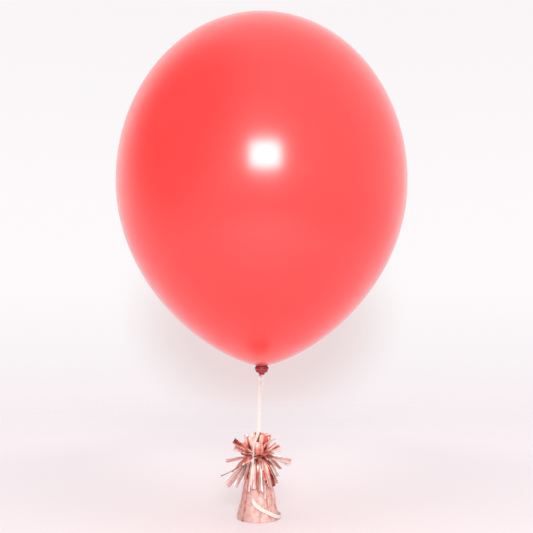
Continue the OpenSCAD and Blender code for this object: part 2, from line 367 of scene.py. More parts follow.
def cup_material():
    """Off-white moulded plastic."""
    s = Shader("cup_plastic", Roughness=0.45)
    s.drive("Base Color", s.ramp(s.noise(0.01, 3), [(0.3, (0.78, 0.78, 0.75)), (0.7, (0.86, 0.86, 0.84))]))
    s.bump(s.noise(0.0006, 2), 0.00003, 0.3)
    return s.material


def ballast_material():
    """Set plaster and sand."""
    s = Shader("ballast", Roughness=0.9)
    grains = s.noise(0.0009, 5, 0.7)
    s.drive("Base Color", s.ramp(grains, [(0.35, (0.34, 0.27, 0.19)), (0.7, (0.66, 0.58, 0.45))]))
    s.bump(grains, 0.0003, 0.8)
    return s.material


def floor_material():
    """Pale studio floor, painted darker near the weight and with a painted pool of light behind it over the
    balloon's shadow, that fades out into the plain surround.
    """
    s = Shader("floor", Roughness=0.6)
    spread = s.vector("LENGTH", s.place)
    # Painted shade: the floor is painted darker near the weight and lighter further out, to even out the
    # stronger light that falls on it close in.
    plain = s.ramp(s.remap(spread, 0.1, 1.3, 0.0, 1.0), [
        (0.0, (0.8, 0.79, 0.805)), (0.33, (0.86, 0.82, 0.845)), (0.55, (0.925, 0.88, 0.9)),
        (1.0, (0.93, 0.885, 0.905))])
    # Painted light: a pool of lighter colour behind the weight, laid over the balloon's shadow on the floor.
    light_pool_offset = s.vector("SUBTRACT", s.place, (0, 0.45, 0))
    reach = s.vector("LENGTH", s.vector("DIVIDE", light_pool_offset, (0.35, 0.5, 1)))
    s.drive("Base Color", s.mix(s.remap(reach, 0.3, 1.0, 0.42, 0.0), plain, (1.0, 0.97, 0.985, 1)))
    s.drive("Alpha", s.remap(spread, 0.6, 1.35, 1.0, 0.0))
    return s.material


latex = latex_material()
latex_thick = thick_latex_material()
ribbon_film = ribbon_material()
foil = foil_material()
elastic = elastic_material()
cup_plastic = cup_material()
ballast = ballast_material()


# ---- Camera ----

def add_camera():
    """Level camera, with the angle of view across its width."""
    data = bpy.data.cameras.new("camera")
    data.sensor_width = 36
    data.lens = data.sensor_width / 2 / math.tan(CAMERA_FOV / 2)
    camera = bpy.data.objects.new("camera", data)
    camera.location = CAMERA_AT
    camera.rotation_euler = (math.radians(90), 0, 0)
    bpy.context.scene.collection.objects.link(camera)
    bpy.context.scene.camera = camera


add_camera()


# ---- Ribbon ----

RIBBON_W = 5
RIBBON_T = 0.22
RIBS = 9
RIB_RISE = 0.06
RIBBON_STEP = 0.8

# Routes of the ribbon's centreline, the same points as in the CAD
CROWN_RUN = [[-6, -9.2, 83], [-6.4, -9.6, 88], [-6.4, -9.8, 94], [-5.6, -9.4, 101], [-3.4, -7.2, 108],
             [-0.6, -4, 114.6]]
LOWER_BEND = [[-0.1, -3.7, 117.2], [0.2, -3.6, 118.6], [0.5, -3.5, 120]]
LOWER_RUN = [[1.2, -3.1, 124.6], [1.6, -2.8, 130], [1.8, -2.3, 136], [1.9, -1.9, 142]]
UPPER_RUN = [[1.9, -1.8, 143.4], [2, -1.4, 150], [2.1, -0.6, 162], [2.2, 0.4, 174], [2.3, 1.2, 183.6]]
UPPER_BEND = [[2.4, 2, 186.4], [2.5, 2.5, 187.8], [2.6, 3, 189.2]]
NECK_RUN = [[2.8, 5.6, 193.6], [3, 8.4, 197.4], [3.2, 9.8, 201], [3.6, 9.8, 205]]
SHORT_TOP = [[6.6, 10.5, 206.9], [7.2, 10.8, 206], [7.4, 10.8, 202], [7.3, 9.2, 197], [7, 6.8, 193.8]]
SHORT_BEND = [[6.9, 5.2, 188.6], [6.9, 4.9, 187.5], [6.9, 4.6, 186.4]]
SHORT_END = [[7, 4.2, 183], [7.4, 4.4, 178], [7.6, 4.8, 170], [6.6, 6.4, 160.5]]
TAIL = [[-6.05, -9.3, 83.1], [-6.8, -11, 81.6], [-7.4, -12.2, 79.6], [-8, -15, 74], [-8.3, -18.6, 66],
        [-8.6, -21.6, 57], [-8.8, -23.4, 48], [-8.6, -24.6, 40], [-7.9, -25.4, 34], [-6.2, -26.8, 28.6],
        [-3.6, -27.9, 24.4], [0.2, -28.5, 21.2], [4.2, -28.5, 18.4], [8.3, -27.7, 16], [12.3, -26.3, 13.8],
        [16.3, -24.3, 11.4], [20.3, -21.9, 9], [24.4, -18.3, 6.4], [27.9, -13.2, 4.6], [30.2, -7.5, 3.6],
        [31, -1.5, 3.1], [30.6, 4.8, 2.9], [28.8, 11.2, 2.9], [25.6, 17.2, 3], [21.2, 22.4, 3.2],
        [16.6, 26.6, 3.6], [12.2, 30, 4.4]]


def ribbon_section():
    """Cross section of the ribbon: fine ribs on both faces."""
    n = 2 * RIBS
    x = np.linspace(-RIBBON_W / 2, RIBBON_W / 2, n + 1)
    rise = np.where(np.arange(n + 1) % 2 == 1, RIBBON_T / 2, RIBBON_T / 2 - RIB_RISE)
    face = np.stack([x, rise], axis=1)
    back = np.stack([x[::-1], -rise[::-1]], axis=1)
    return np.concatenate([face, back])


def ribbon_piece(name, node, rows, body=None, blend=None, tone=(0,)):
    """A length of ribbon. Each of its rows has its place and then the direction of its width.

    It rides on body. When blend is given, the piece rides on no body and keeps its place; the bodies and
    heights in blend, (body, body, start height, end height), are not used.
    tone paints light or shade onto it, with values spread evenly from its start to its end.
    """
    section = ribbon_section()
    line, across = rows[:, :3], rows[:, 3:]
    points, faces = ring_tube(sweep(line, across, section))
    # Painted highlights on the ribs, raised or lowered along the piece by the painted light and shade of
    # tone.
    painted_ribbon_light = np.tile((np.abs(section[:, 1]) > RIBBON_T / 2 - RIB_RISE / 2).astype(float), len(line))
    shift = np.interp(np.linspace(0, 1, len(line)), np.linspace(0, 1, len(tone)), tone)
    painted_ribbon_light = np.concatenate([painted_ribbon_light * 0.55 + 0.25 + np.repeat(shift, len(section)), [0.5, 0.5]])
    piece = new_piece(name, points, faces, ribbon_film, {"painted_ribbon_light": painted_ribbon_light})
    if blend:
        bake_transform(piece)
    else:
        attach(piece, body)
    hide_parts(node)
    return piece


def with_turn(points, angles):
    """Rows of places and directions of the width, which turns through the given angles from +X towards +Y."""
    places = np.linspace(0, len(points) - 1, len(angles))
    turns = np.radians(np.interp(np.arange(len(points)), places, angles))
    return [[*p, math.cos(a), math.sin(a), 0] for p, a in zip(points, turns)]


def between(rows, low, high):
    """The stretch of a rising or falling line between two heights, cut exactly there."""
    rising = rows[-1, 2] > rows[0, 2]
    order = rows if rising else rows[::-1]
    z = order[:, 2]
    first, last = ([np.interp(height, z, column) for column in order.T] for height in (low, high))
    stretch = np.concatenate([[first], order[(z > low + 0.05) & (z < high - 0.05)], [last]])
    return stretch if rising else stretch[::-1]


# Heights of the ties that the ribbon starts and ends in
GATHER_TIE_Z, NECK_TIE_Z = 83, 206.2
# Heights at which one piece of the ribbon meets the next, half-way between the joints
LOWER_SPLIT, LOWER_END = 119, 125.4
UPPER_SPLIT, UPPER_END = 181.8, 188.15
# Heights at which the crown run starts to turn, and at which the tether and the neck runs have turned
CROWN_TURN, TETHER_TURN, NECK_TURN = 106, 160, 194.45
# Painted light and shade on the ribbon: painted shade dulls it between the two ties, where the light falls
# full on it, and painted light brightens it by the neck, in the knot's shade
RIBBON_PAINTED_SHADE, RIBBON_PAINTED_LIGHT = -0.14, 0.2


def add_tether():
    """The ribbon from the tie on the gather up to the neck, in five pieces that meet where the bodies do."""
    rows = smooth_line(
        with_turn(CROWN_RUN, [-50, -66, -56, -30]) + with_turn(LOWER_BEND, [-20, 0])
        + with_turn(LOWER_RUN, [5, 20]) + with_turn(UPPER_RUN, [22, 52]) + with_turn(UPPER_BEND, [52, 52])
        + with_turn(NECK_RUN, [50, 0]) + [[3.8, 9.6, NECK_TIE_Z, 1, 0, 0]], RIBBON_STEP)
    crown_rows = between(rows, GATHER_TIE_Z, LOWER_SPLIT)
    tether_rows = between(rows, LOWER_END, UPPER_SPLIT)
    # The crown run is painted lighter by the tie on the gather, where the fringe shades it, and dulled with
    # painted shade further up.
    crown = ribbon_piece(
        "ribbon_crown_run_film", "ribbon_crown_run", crown_rows,
        blend=("weight", "lower_bend", CROWN_TURN, LOWER_SPLIT), tone=(0.4, 0.3, 0.1, RIBBON_PAINTED_SHADE))
    low_bend = ribbon_piece(
        "ribbon_lower_bend_film", "ribbon_lower_bend", between(rows, LOWER_SPLIT, LOWER_END),
        blend=("lower_bend", "lower_ribbon", LOWER_SPLIT, LOWER_END), tone=(RIBBON_PAINTED_SHADE,))
    tether = ribbon_piece(
        "ribbon_tether_film", "ribbon_lower_run", tether_rows,
        blend=("lower_ribbon", "upper_ribbon", LOWER_END + 1, TETHER_TURN), tone=(RIBBON_PAINTED_SHADE,))
    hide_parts("ribbon_upper_run")
    high_bend = ribbon_piece(
        "ribbon_upper_bend_film", "ribbon_upper_bend", between(rows, UPPER_SPLIT, UPPER_END),
        blend=("upper_ribbon", "upper_bend", UPPER_SPLIT, UPPER_END), tone=(RIBBON_PAINTED_SHADE,))
    neck = ribbon_piece(
        "ribbon_neck_run_film", "ribbon_neck_run", between(rows, UPPER_END, NECK_TIE_Z),
        blend=("upper_bend", "balloon", UPPER_END, NECK_TURN), tone=(RIBBON_PAINTED_LIGHT,))


def add_short_end():
    """The cut end that hangs from the hitch at the neck, beside the tether, in two pieces."""
    rows = smooth_line(with_turn(SHORT_TOP, [80, 72]) + with_turn(SHORT_BEND, [70, 66])
                       + with_turn(SHORT_END, [64, 70]), RIBBON_STEP)
    top = ribbon_piece(
        "ribbon_short_top_film", "ribbon_short_top", between(rows, UPPER_END, SHORT_TOP[0][2]),
        blend=("upper_bend", "balloon", UPPER_END, NECK_TURN), tone=(RIBBON_PAINTED_LIGHT,))
    end_rows = between(rows, SHORT_END[-1][2], UPPER_END)
    end = ribbon_piece(
        "ribbon_short_end_film", "ribbon_short_end", end_rows,
        blend=("upper_ribbon", "upper_bend", UPPER_SPLIT, UPPER_END))
    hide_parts("ribbon_short_bend")


def tail_directions():
    """Direction of the tail's width at each point of its route."""
    hanging = [[0.7, -0.7, 0]] * 5 + [[0.6, -0.8, 0], [0.35, -0.92, 0], [0.04, -1, 0.1], [0.15, -0.6, 0.8]]
    return hanging + [[0.2, 0, 1]] * (len(TAIL) - len(hanging))


def add_tail():
    """The ribbon's tail: down the front, round the foil to the right, and on the surface behind it."""
    rows = smooth_line([[*p, *d] for p, d in zip(TAIL, tail_directions())], RIBBON_STEP)
    # The tail is painted lighter where it leaves the tie, under the fringe's shade.
    piece = ribbon_piece("ribbon_tail_film", "ribbon_tail", rows, body="weight", tone=(0.4, 0.05, 0, 0))


add_tether()
add_short_end()
add_tail()


# ---- Balloon ----

def fold_wave(angle, seed, counts=(9, 13, 17)):
    """Irregular folds round a neck: about -1 to 1, and steepest half-way between a ridge and a furrow."""
    rng = random.Random(seed)
    wave = sum(math.cos(n * angle + rng.uniform(0, math.tau)) for n in counts) / len(counts)
    return abs(wave) ** 0.7 * math.copysign(1, wave)


def add_balloon():
    """Inflated latex: the CAD outline at high resolution, with puckers where the neck is squeezed."""
    around, steps = 240, 84
    extra_steps = 30
    crown_thick, crown_reach = 0.45, 11
    pucker_reach, sheen_reach = 13, 9
    upper = [(BALLOON_R * math.sin(a), BELLY_Z + DOME_H * math.cos(a))
             for a in np.linspace(0.012, math.pi / 2, steps, endpoint=False)]
    last = math.pi - math.asin((NECK_R / BALLOON_R) ** (1 / TAPER_POWER))
    sweep_down = 1 - (1 - np.linspace(0, 1, steps + extra_steps)) ** 1.25
    lower = [(BALLOON_R * math.sin(a) ** TAPER_POWER, BELLY_Z + TAPER_H * math.cos(a))
             for a in math.pi / 2 + (last - math.pi / 2) * sweep_down]
    outline = upper + lower + [(NECK_R - 0.1, NECK_Z - 0.7), (NECK_R - 0.2, KNOT_TOP_Z)]
    angles = np.linspace(0, math.tau, around, endpoint=False)
    folds = np.array([fold_wave(a, 4) for a in angles])
    fine = np.array([fold_wave(a, 9, (23, 29)) for a in angles])
    rings, thick, painted_neck_sheen = [], [], []
    for r, z in outline:
        off = max(0, r - NECK_R)
        near = math.exp(-(off / pucker_reach) ** 2) if z < BELLY_Z else 0
        rise = off / (r + 4) * near
        lift = 0.4 * rise * folds + 0.08 * near * fine * min(1, off / 3)
        rr = r * (1 + 0.025 * near * folds)
        zz = z + np.maximum(lift, -0.4)
        rings.append(np.stack([AXIS_X + rr * np.cos(angles), rr * np.sin(angles), zz], 1))
        thick.append(crown_thick * math.exp(-(r / crown_reach) ** 2) if z > BELLY_Z else 0)
        # Painted sheen: the latex is painted pale pink close to the neck.
        painted_neck_sheen.append(0.8 * math.exp(-(off / sheen_reach) ** 2) if z < BELLY_Z else 0)
    points, faces = ring_tube(rings)
    thick = np.concatenate([np.repeat(thick, around), [crown_thick, 0]])
    painted_neck_sheen = np.concatenate([np.repeat(painted_neck_sheen, around), [0, 0]])
    piece = new_piece("balloon_film", points, flipped(faces), latex, {"thick": thick, "painted_neck_sheen": painted_neck_sheen})
    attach(piece, "balloon")
    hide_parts("balloon_skin")


def lathe_rings(outline, around, centre, shape):
    """Rings of a turned body. shape(angle, share along the outline) gives a radius factor and a rise."""
    angles = np.linspace(0, math.tau, around, endpoint=False)
    rings = []
    for i, (r, z) in enumerate(outline):
        factor, rise = np.array([shape(a, i / (len(outline) - 1)) for a in angles]).T
        rings.append(np.stack([
            centre[0] + r * factor * np.cos(angles), centre[1] + r * factor * np.sin(angles), z + rise], 1))
    return rings


def add_knot():
    """The overhand knot: a bunched bowl that narrows to its foot, with a collar up round the tied neck."""
    low, high = knot_low[2], knot_high[2]
    foot_r, waist_z = 5, low + 0.42 * (KNOT_TOP_Z - low)
    collar_r = NECK_R + 0.9
    outline = [
        (0.02, KNOT_TOP_Z), (collar_r, KNOT_TOP_Z), (collar_r, high - 0.5), (collar_r + 0.3, high - 0.1)]
    outline += [(KNOT_R - 1.1 * (1 - math.cos(a)), high - 1.4 * (1 - math.sin(a)))
                for a in np.linspace(math.pi / 2, 0, 9)]
    outline += [(foot_r + (KNOT_R - foot_r) * math.cos(a), waist_z - (waist_z - low) * math.sin(a))
                for a in np.linspace(0, math.pi / 2, 22)] + [(0.02, low + 0.2)]

    def creased(angle, share):
        """Radius factor and rise of creases that slant down the knot."""
        fold = fold_wave(angle + 0.9 * share, 21, (7, 11, 16))
        return 1 - 0.035 * (0.5 - 0.5 * fold) - 0.012 * fold_wave(angle, 5, (27,)), 0

    rings = np.array(lathe_rings(outline, 120, (0, 0), creased)) * [KNOT_SPREAD, 1, 1] + [AXIS_X, 0, 0]
    points, faces = ring_tube(rings)
    # Painted shade and highlight: the knot is painted darkest at its top, in the balloon's shade, and lighter
    # low down just right of its middle, where the light catches it.
    drop = np.clip((high - points[:, 2]) / (high - low), 0, 1)
    tone = 0.12 + 0.4 * drop * np.exp(-((points[:, 0] - AXIS_X - 1) / 4.5) ** 2)
    piece = new_piece("knot_body", points, flipped(faces), latex_thick, {"tone": tone})
    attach(piece, "balloon")
    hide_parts("neck_knot")


def add_knot_turn():
    """The rolled turn of latex round the knot, flattened against it and tapering into its back."""
    turn_low, turn_high = box_mm("knot_wrap")
    centre_z = (turn_low[2] + turn_high[2]) / 2 + 0.8
    n, around = 90, 24
    angle = np.radians(np.linspace(150, 390, n))
    share = np.linspace(0, 1, n)
    reach = KNOT_R + 0.35
    line = np.stack([
        AXIS_X + KNOT_SPREAD * reach * np.cos(angle), reach * np.sin(angle),
        centre_z + reach * np.sin(angle) * math.sin(math.radians(12)) + 0.25 * np.sin(3 * angle)], 1)
    size = np.clip(np.minimum(share, 1 - share) * 9, 0.15, 1) ** 0.5
    ring = np.linspace(0, math.tau, around, endpoint=False)
    sections = []
    for i in range(n):
        wrinkle = 1 + 0.06 * np.cos(5 * ring + 9 * share[i]) + 0.03 * math.cos(60 * share[i])
        wide, deep = 1.4 * size[i], 0.65 * size[i]
        sections.append(np.stack([wide * wrinkle * np.cos(ring), deep * wrinkle * np.sin(ring)], 1))
    up = np.tile([0, 0, 1.0], (n, 1))
    points, faces = ring_tube(sweep(line, up, sections))
    # Painted shade: the upper half of the turn is painted darker than its lower half, which lies out of the
    # shade.
    tone = 0.3 + 0.15 * np.cos(points[:, 0] * 0.5) + 0.1 * (points[:, 2] < centre_z)
    piece = new_piece("knot_turn", points, faces, latex_thick, {"tone": tone})
    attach(piece, "balloon")
    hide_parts("knot_wrap")


def ruffled(angle, share):
    """Radius factor and rise of the nozzle's lengthwise ruffles, which grow towards its mouth."""
    factor = 1 + 0.04 * share * math.cos(5 * angle + 1) + 0.02 * math.cos(11 * angle)
    return factor, 0.2 * share * math.cos(2 * angle)


def add_nozzle():
    """Short nozzle below the knot, a thin ruffled wall that narrows to its mouth."""
    top, bottom = nozzle_high[2], nozzle_low[2]
    wall = 0.5
    around = 72
    outer = [(LIP_R + 0.7 - 1.1 * t ** 1.6, top + (bottom - top) * t) for t in np.linspace(0, 1, 16)]
    inner = [(r - wall, z) for r, z in reversed(outer)]
    rings = lathe_rings(outer, around, (AXIS_X, 0), ruffled) + lathe_rings(
        inner, around, (AXIS_X, 0), lambda angle, share: ruffled(angle, 1 - share))
    points = np.concatenate(rings)
    faces = flipped(closed_faces(len(rings), around))
    # Painted shade: the nozzle is painted darkest at its top, under the knot, and lighter towards its mouth.
    tone = 0.3 + 0.2 * (top - points[:, 2]) / (top - bottom)
    tube = new_piece("nozzle_tube", points, faces, latex_thick, {"tone": tone})
    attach(tube, "balloon")
    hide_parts("nozzle")


def add_lip():
    """Rolled lip round the nozzle's mouth."""
    lip_r, bead_r = LIP_R - 1.1, 0.72
    middle_z = (lip_low[2] + lip_high[2]) / 2
    around = np.linspace(0, math.tau, 96, endpoint=False)
    bead = np.linspace(0, math.tau, 20, endpoint=False)
    rings = []
    for a in around:
        factor, rise = ruffled(a, 1)
        r = lip_r * factor + bead_r * np.cos(bead)
        z = middle_z + rise * 0.6 + bead_r * np.sin(bead)
        rings.append(np.stack([AXIS_X + r * math.cos(a), r * math.sin(a), z], 1))
    points = np.concatenate(rings)
    faces = flipped(closed_faces(len(around), len(bead)))
    # Painted highlight: the roll is painted as light as the nozzle's mouth, where the light catches it, and
    # varies from side to side.
    tone = 0.45 + 0.1 * np.sin(points[:, 0] * 2)
    lip = new_piece("nozzle_roll", points, faces, latex_thick, {"tone": tone})
    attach(lip, "balloon")
    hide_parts("nozzle_lip")


add_balloon()
add_knot()
add_knot_turn()
add_nozzle()
add_lip()


# ---- Ribbon ties ----

def add_tie_ring(name, node, centre, radius, height, body):
    """Ribbon pulled tight round a neck: two narrow turns of folded film that lie on each other."""
    low, high = box_mm(node)
    turns, n = 2, 220
    depth = 0.36
    share = np.linspace(0, 1, n)
    angle = share * turns * math.tau - 1.9
    z = low[2] + 0.35 + (high[2] - low[2] - 0.7) * share
    line = np.stack([centre[0] + radius * np.cos(angle), centre[1] + radius * np.sin(angle), z], 1)
    ring = np.linspace(0, math.tau, 16, endpoint=False)
    sections = []
    for s in share:
        wide = height * (1 + 0.08 * math.cos(31 * s))
        deep = depth * (1 + 0.1 * np.cos(3 * ring + 20 * s))
        sections.append(np.stack([wide * np.cos(ring), deep * np.sin(ring)], 1))
    points, faces = ring_tube(sweep(line, np.tile([0, 0, 1.0], (n, 1)), sections))
    # Painted highlights: the turns are painted in lighter and darker bands up their height.
    piece = new_piece(name, points, faces, ribbon_film, {"painted_ribbon_light": 0.45 + 0.25 * np.cos(points[:, 2] * 14)})
    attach(piece, body)
    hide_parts(node)


def add_hitch(name, node, body, spin):
    """A pulled-tight hitch: the film as a small trefoil knot, crossing over itself three times."""
    low, high = box_mm(node)
    centre, size = (low + high) / 2, (high - low) / 2
    n = 150
    t = np.linspace(0, math.tau, n, endpoint=False)
    line = np.stack([(2 + np.cos(3 * t)) * np.cos(2 * t + spin), (2 + np.cos(3 * t)) * np.sin(2 * t + spin),
                     1.5 * np.sin(3 * t)], 1) / 3
    line = centre + line * (size * 0.8)[None] * [1, 1, 1.25]
    outward = unit(line - centre)
    tangent = unit(np.roll(line, -1, 0) - np.roll(line, 1, 0))
    side = unit(np.cross(tangent, outward))
    ring = np.linspace(0, math.tau, 14, endpoint=False)
    width, depth = size[0] * 0.5, size[0] * 0.24
    rings = line[:, None] + width * np.cos(ring)[None, :, None] * side[:, None] \
        + depth * np.sin(ring)[None, :, None] * outward[:, None]
    # Painted highlights: the film is painted lighter on four sides round its section.
    painted_ribbon_light = np.tile(0.65 + 0.35 * np.cos(ring * 4), n)
    piece = new_piece(name, rings.reshape(-1, 3), closed_faces(n, len(ring)), ribbon_film, {"painted_ribbon_light": painted_ribbon_light})
    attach(piece, body)
    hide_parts(node)


add_tie_ring("neck_tie", "ribbon_neck_wrap", (AXIS_X, 0), NECK_R + 0.4, 0.38, "balloon")
add_tie_ring("gather_tie", "ribbon_gather_wrap", (0, 0), GATHER_R + 0.5, 0.5, "weight")
add_hitch("neck_hitch", "ribbon_neck_knot", "balloon", 0.4)
add_hitch("gather_hitch", "ribbon_gather_knot", "weight", 1.1)


# ---- Foil ----

WRAP_FILM, STRIP_FILM = 0.16, 0.14


def add_film(name, node, points, faces, attributes, thickness):
    """A piece of the foil, with a thickness to both sides of its mesh."""
    piece = new_piece(name, points, faces, foil, attributes)
    solid = piece.modifiers.new("thickness", "SOLIDIFY")
    solid.thickness = thickness * MM
    solid.offset = 0
    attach(piece, "weight")
    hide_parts(node)


def wrap_radius(z):
    """Radius of the wrap in the CAD at a height."""
    heights = [0, SHOULDER_Z, GATHER_BOTTOM_Z - 5, GATHER_BOTTOM_Z, GATHER_BOTTOM_Z + 1]
    radii = [BASE_R, BASE_R - WRAP_SLOPE * SHOULDER_Z, 12, GATHER_R + 0.8, GATHER_R + 0.3]
    return float(np.interp(z, heights, radii))


def wrap_folds(seed, count):
    """Folds of the wrap: angle at the gather, slant, half width, depth and how far down each one reaches.

    Two folds are deep, and those of the wrap's calm front are shallower than the rest.
    """
    rng = random.Random(seed)
    deep = [(math.radians(227), 0.0, 0.15, 2.6, 1.3), (math.radians(298), 0.95, 0.13, 2.4, 1.3)]
    calm_from, calm_to = math.radians(236), math.radians(292)
    shallow = []
    for i in range(count):
        at = math.tau * (i + rng.uniform(-0.3, 0.3)) / count
        calm = 0.3 if calm_from < at < calm_to else 1
        shallow.append((at, rng.uniform(-0.25, 0.25), rng.uniform(0.07, 0.18), calm * rng.uniform(0.8, 2.2),
                        rng.choice([0.45, 0.7, 1.2, 1.3])))
    return deep + shallow


def add_wrap():
    """Foil sheet drawn up round the cup: flat under the base, with slanting folds up to the gather."""
    around = 360
    angles = np.linspace(0, math.tau, around, endpoint=False)
    heights = np.concatenate([np.linspace(0, 4, 7), np.linspace(4.8, SHOULDER_Z, 66),
                              np.linspace(SHOULDER_Z + 0.7, GATHER_BOTTOM_Z, 26)])
    folds = wrap_folds(11, 21)
    deep_fold, deepest = 2.3, 2.2
    rings, tone_rows = [], []
    for z in heights:
        down = 1 - z / GATHER_BOTTOM_Z
        push, crease = np.zeros(around), np.zeros(around)
        for at, slant, half, depth, reach in folds:
            off = (angles - at - slant * down + math.pi) % math.tau - math.pi
            width = half * (0.45 + 0.9 * down)
            ridge = np.where(off > 0, np.clip(1 - off / width, 0, 1), np.clip(1 + off / (width * 0.3), 0, 1))
            fade = min(1, max(0, (reach - down) / 0.3))
            push += depth * fade * ridge * (0.35 + 0.65 * math.sin(math.pi * min(1, down * 1.6 + 0.1)))
            if depth > deep_fold:
                crease += np.exp(-((off + 0.03) / 0.05) ** 2)
        outer = wrap_radius(z)
        place = np.stack([outer * np.cos(angles), outer * np.sin(angles), np.full(around, z / 2.6)], 1)
        crush = crumple(place, 13, 2, 3.7)
        amount = 2.0 * min(1, z / 6) * min(1, (GATHER_BOTTOM_Z - z) / 10 + 0.15)
        ridges = np.clip(push * min(1, z / 8 + 0.35), 0, deepest)
        r = outer - 1.5 + 1.2 * math.exp(-z / 6) + ridges + amount * (crush - 0.35)
        r = np.clip(r, outer - deepest, outer + 0.6)
        if z < 2:
            r -= 0.4 * (1 - z / 2) ** 2
        slope = (np.roll(r, -1) - np.roll(r, 1)) / (2 * outer * math.tau / around)
        # Painted reflection and shade: facets that turn one way round the wrap are painted lighter and those
        # turning the other way darker, the deep folds' creases are painted dark, and the crumple varies the
        # tone at random.
        tone_rows.append(0.57 + 0.3 * np.tanh(1.6 * slope) + 0.14 * (crush - 0.5) - 0.38 * crease)
        rings.append(np.stack([r * np.cos(angles), r * np.sin(angles), np.full(around, z) + 0.1], 1))
    base = [rings[0] * [f, f, 1] for f in (0.02, 0.3, 0.6, 0.85)]
    rings = base + rings
    tone_rows = [np.full(around, 0.6)] * len(base) + tone_rows
    points = np.concatenate(rings)
    faces = grid_faces(len(rings), around, True)
    tone = np.clip(np.concatenate(tone_rows), 0.12, 1)
    add_film("foil_wrap_film", "foil_wrap", points, faces,
             {"tone": tone, "dull": np.full(len(points), 0.34), "cool": np.full(len(points), 0.4)}, WRAP_FILM)


def add_gather():
    """The sheet squeezed into tight pleats under the bands."""
    around, pleats = 216, 18
    angles = np.linspace(0, math.tau, around, endpoint=False)
    rings = []
    for z in np.linspace(GATHER_BOTTOM_Z - 1.2, GATHER_Z + 0.8, 22):
        squeeze = 0.86 + 0.14 * abs(z - (GATHER_BOTTOM_Z + GATHER_Z) / 2) / 4
        wave = np.abs(np.sin(pleats * angles / 2 + 0.5 * np.sin(3 * angles) + 0.06 * z)) ** 0.8
        r = GATHER_R * squeeze * (0.7 + 0.3 * wave)
        rings.append(np.stack([r * np.cos(angles), r * np.sin(angles), np.full(around, z)], 1))
    points = np.concatenate(rings)
    faces = grid_faces(len(rings), around, True)
    # Painted shade: the pleats are painted darker towards their hollows.
    r = np.linalg.norm(points[:, :2], axis=1)
    tone = np.clip((r / GATHER_R - 0.65) * 1.8, 0, 0.7)
    add_film("foil_gather_film", "foil_gather", points, faces, {"tone": tone}, WRAP_FILM)


# Cut strips: azimuth, length, slope at the root and at the tip, twist, width, tone at the middle and at the
# tip, and coolness of the tone. The tones carry painted light: the whitest strips are painted glints and the
# darkest are painted shadows between strips. Angles are in degrees, and azimuths go from +X towards +Y.
UPRIGHT_ROWS = [
    [184, 35, 52, 88, -80, 9, 0.63, 0.78, 0], [212, 34, 62, 92, -50, 9, 0.55, 0.72, 0],
    [160, 34, 60, 90, 68, 9, 0.53, 0.63, 0], [222, 25, 84, 82, -30, 5, 0.03, 0.08, 0],
    [300, 27, 84, 80, 25, 7.5, 0.4, 0.42, 0], [318, 33, 62, 88, 45, 12, 0.34, 0.24, 0],
    [340, 38, 78, 16, 30, 7, 0.95, 1.0, 0], [352, 30, 44, 32, 70, 6.5, 0.05, 0.05, 0],
    [8, 34, 54, 88, -80, 9, 0.53, 0.74, 0], [38, 33, 62, 90, -52, 9, 0.36, 0.46, 0],
    [66, 33, 70, 90, -24, 9, 0.45, 0.58, 0], [95, 34, 84, 80, 5, 9, 0.28, 0.42, 0],
    [128, 33, 64, 90, 38, 9, 0.42, 0.48, 0], [270, 22, 86, 84, 0, 7, 0.33, 0.53, 0],
    [198, 31, 58, 84, -70, 8, 0.3, 0.58, 0], [332, 32, 58, 84, 60, 8, 0.3, 0.55, 0]]
SPREAD_ROWS = [
    [180, 38, 54, 34, -75, 8, 0.5, 0.06, 0], [188, 42, 28, -8, -35, 6.5, 0.75, 0.75, 0],
    [176, 41, 18, -14, 35, 6.5, 0.62, 0.8, 0], [350, 31, 46, 38, 60, 3.5, 1, 1.0, 0],
    [344, 32, 40, 14, 20, 3.5, 1, 1.0, 0], [336, 33, 40, -6, 20, 4, 0.05, 0.03, 0],
    [352, 43, 28, -12, 72, 9, 1.0, 0.7, 0.3], [341, 41, 16, -14, 40, 7, 1, 0.8, 0.3],
    [286, 22, 56, 14, 15, 7, 0.3, 0.5, 0], [300, 25, 50, 4, 25, 7, 0.45, 0.25, 0],
    [316, 25, 48, 10, 40, 7, 0.2, 0.6, 0], [264, 18, 60, 20, -15, 6, 0.29, 0.55, 0],
    [214, 24, 50, 20, -40, 7, 0.2, 0.5, 0], [200, 22, 44, 22, -65, 8, 0.26, 0.2, 0],
    [28, 34, 65, 12, -50, 8, 0.5, 0.6, 0], [48, 36, 60, 2, -30, 8, 0.7, 0.6, 0],
    [68, 34, 70, 30, -10, 9, 0.6, 0.7, 0], [90, 36, 60, 0, 10, 9, 0.4, 0.6, 0.3],
    [110, 38, 60, -5, 20, 9, 0.7, 0.5, 0], [130, 34, 66, 20, 30, 9, 0.5, 0.6, 0],
    [150, 38, 60, 5, 40, 9, 0.6, 0.7, 0],
    [206, 19, 30, -30, -60, 8, 0.34, 0.4, 0], [214, 20, 66, 30, -45, 7, 0.5, 0.35, 0],
    [256, 17, 58, 4, 30, 6, 0.35, 0.55, 0], [264, 19, 30, -20, 60, 5, 0.2, 0.2, 0],
    [276, 18, 40, -16, -35, 8, 0.6, 0.4, 0], [292, 19, 30, -30, 50, 8, 0.29, 0.6, 0],
    [306, 20, 60, 16, -30, 8, 0.6, 0.3, 0], [322, 22, 24, -24, 40, 8, 0.26, 0.3, 0],
    [334, 22, 62, 20, 55, 8, 0.55, 0.75, 0], [349, 23, 36, -10, 60, 7, 0.75, 0.6, 0]]
